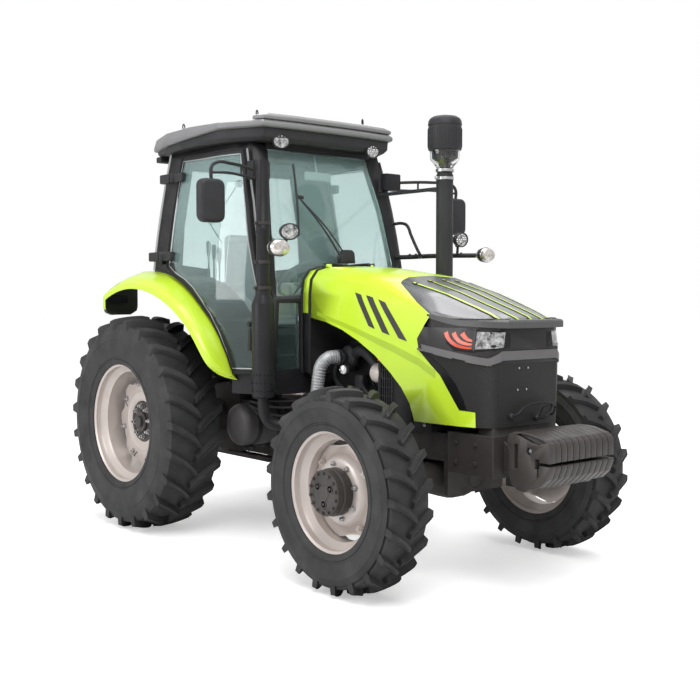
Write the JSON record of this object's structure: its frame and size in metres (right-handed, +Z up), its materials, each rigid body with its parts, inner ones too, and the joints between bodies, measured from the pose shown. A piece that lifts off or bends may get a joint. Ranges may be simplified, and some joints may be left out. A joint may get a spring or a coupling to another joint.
{
  "type": "farm tractor with cab",
  "caption": "Four-wheel-drive farm tractor with a glazed cab, lifting nose hood, front weights, steered front axle, opening doors and a rear three-point hitch.",
  "frame": {"origin": "on the ground under the middle of the machine, half-way between its foremost and rearmost points", "axes": "+Z up, +Y towards the rear hitch, +X towards the tractor's left side; the nose points along -Y"},
  "size_m": [2.266, 4.156, 2.807],
  "materials": {
    "lime_paint": "glossy",
    "grey_panel": "satin",
    "black_plastic": "satin",
    "black_metal": "satin",
    "cast_metal": "satin",
    "tyre_rubber": "matte",
    "rim_silver": "satin",
    "tinted_glass": "clear",
    "seat_fabric": "matte",
    "bright_steel": "brushed",
    "lamp_lens": "clear"
  },
  "bodies": {
    "chassis": {"front_axle": "cast_metal", "front_frame": "cast_metal", "weight_carrier": "black_metal", "front_weights": "cast_metal", "engine_block": "cast_metal", "radiator": "black_metal", "rear_housing": "cast_metal", "exhaust_stack": "black_metal", "exhaust_pipe": "bright_steel", "air_intake": "black_plastic", "pre_cleaner": "black_plastic", "fuel_tank": "black_plastic", "air_tank": "black_metal", "drawbar": "cast_metal", "cab_frame": "black_metal", "cab_roof": "grey_panel", "windscreen": "tinted_glass", "quarter_glass_left": "tinted_glass", "quarter_glass_right": "tinted_glass", "fender_left": "lime_paint", "fender_right": "lime_paint", "mirror_left": "black_plastic", "mirror_right": "black_plastic", "dash_console": "black_plastic", "seat_base": "black_plastic", "seat_cushion": "seat_fabric", "seat_back": "seat_fabric", "cowl": "lime_paint"},
    "steering_link": {"steering_rod": "bright_steel"},
    "knuckle_left": {"knuckle_left": "cast_metal"},
    "knuckle_right": {"knuckle_right": "cast_metal"},
    "front_wheel_left": {"front_rim_left": "rim_silver", "front_tyre_left": "tyre_rubber"},
    "front_wheel_right": {"front_rim_right": "rim_silver", "front_tyre_right": "tyre_rubber"},
    "rear_wheel_left": {"rear_rim_left": "rim_silver", "rear_tyre_left": "tyre_rubber"},
    "rear_wheel_right": {"rear_rim_right": "rim_silver", "rear_tyre_right": "tyre_rubber"},
    "door_left": {"door_left": "black_metal", "door_glass_left": "tinted_glass"},
    "door_right": {"door_right": "black_metal", "door_glass_right": "tinted_glass"},
    "rear_window": {"rear_window": "tinted_glass"},
    "hood": {"hood_panel": "lime_paint", "hood_cover": "grey_panel", "nose_panel": "black_plastic", "grille": "black_plastic", "headlight_left": "lamp_lens", "headlight_right": "lamp_lens"},
    "lift_arms": {"lift_arms": "cast_metal"},
    "lift_rods": {"lift_rod_left": "cast_metal", "lift_rod_right": "cast_metal"},
    "lower_links": {"lower_link_left": "cast_metal", "lower_link_right": "cast_metal"},
    "top_link": {"top_link": "cast_metal"},
    "pto": {"pto_shaft": "bright_steel"},
    "steering_wheel": {"steering_wheel": "black_plastic"}
  },
  "joints": [
    {"name": "steer_left", "type": "hinge", "parent": "chassis", "child": "knuckle_left", "pos_m": [0.69, -1.125, 0.567], "axis": [0, 0, 1], "range_deg": [-40, 40]},
    {"name": "steer_right", "type": "hinge", "parent": "chassis", "child": "knuckle_right", "pos_m": [-0.69, -1.125, 0.567], "axis": [0, 0, 1], "range_deg": [-40, 40]},
    {"name": "steering_slide", "type": "slide", "parent": "chassis", "child": "steering_link", "axis": [1, 0, 0], "range_m": [-0.158, 0.158]},
    {"name": "front_left_spin", "type": "hinge", "parent": "knuckle_left", "child": "front_wheel_left", "pos_m": [0.839, -1.125, 0.567], "axis": [1, 0, 0], "continuous": true},
    {"name": "front_right_spin", "type": "hinge", "parent": "knuckle_right", "child": "front_wheel_right", "pos_m": [-0.839, -1.125, 0.567], "axis": [1, 0, 0], "continuous": true},
    {"name": "rear_left_spin", "type": "hinge", "parent": "chassis", "child": "rear_wheel_left", "pos_m": [0.8175, 1.125, 0.742], "axis": [1, 0, 0], "continuous": true},
    {"name": "rear_right_spin", "type": "hinge", "parent": "chassis", "child": "rear_wheel_right", "pos_m": [-0.8175, 1.125, 0.742], "axis": [1, 0, 0], "continuous": true},
    {"name": "door_left_hinge", "type": "hinge", "parent": "chassis", "child": "door_left", "pos_m": [0.793, 0.905, 1.877], "axis": [-0.1694, 0, 0.9855], "range_deg": [0, 75]},
    {"name": "door_right_hinge", "type": "hinge", "parent": "chassis", "child": "door_right", "pos_m": [-0.793, 0.905, 1.877], "axis": [-0.1694, 0, -0.9855], "range_deg": [0, 75]},
    {"name": "rear_window_hinge", "type": "hinge", "parent": "chassis", "child": "rear_window", "pos_m": [0, 1.112, 2.573], "axis": [1, 0, 0], "range_deg": [0, 55]},
    {"name": "hood_lift", "type": "hinge", "parent": "chassis", "child": "hood", "pos_m": [0, -0.167, 1.833], "axis": [-1, 0, 0], "range_deg": [0, 50]},
    {"name": "hitch_lift", "type": "hinge", "parent": "chassis", "child": "lift_arms", "pos_m": [0, 1.21, 1.077], "axis": [1, 0, 0], "range_deg": [-12, 40]},
    {"name": "lift_rod_swing", "type": "hinge", "parent": "lift_arms", "child": "lift_rods", "pos_m": [0, 1.49, 1.037], "axis": [1, 0, 0], "range_deg": [-41, 13]},
    {"name": "lower_link_swing", "type": "hinge", "parent": "chassis", "child": "lower_links", "pos_m": [0, 1.3, 0.547], "axis": [1, 0, 0], "range_deg": [-12, 38]},
    {"name": "top_link_swing", "type": "hinge", "parent": "chassis", "child": "top_link", "pos_m": [0, 1.365, 0.857], "axis": [1, 0, 0], "range_deg": [-30, 50]},
    {"name": "pto_spin", "type": "hinge", "parent": "chassis", "child": "pto", "pos_m": [0, 1.33, 0.647], "axis": [0, 1, 0], "continuous": true},
    {"name": "steering_wheel_spin", "type": "hinge", "parent": "chassis", "child": "steering_wheel", "pos_m": [0, 0.33, 1.742], "axis": [0, 0.6392, 0.7691], "continuous": true}
  ],
  "couplings": [
    {"joint": "steer_right", "follows": "steer_left", "ratio": 1},
    {"joint": "steering_slide", "follows": "steer_left", "m_per_rad": -0.225},
    {"joint": "lift_rod_swing", "follows": "hitch_lift", "ratio": -1},
    {"joint": "lower_link_swing", "follows": "hitch_lift", "ratio": 0.93}
  ]
}
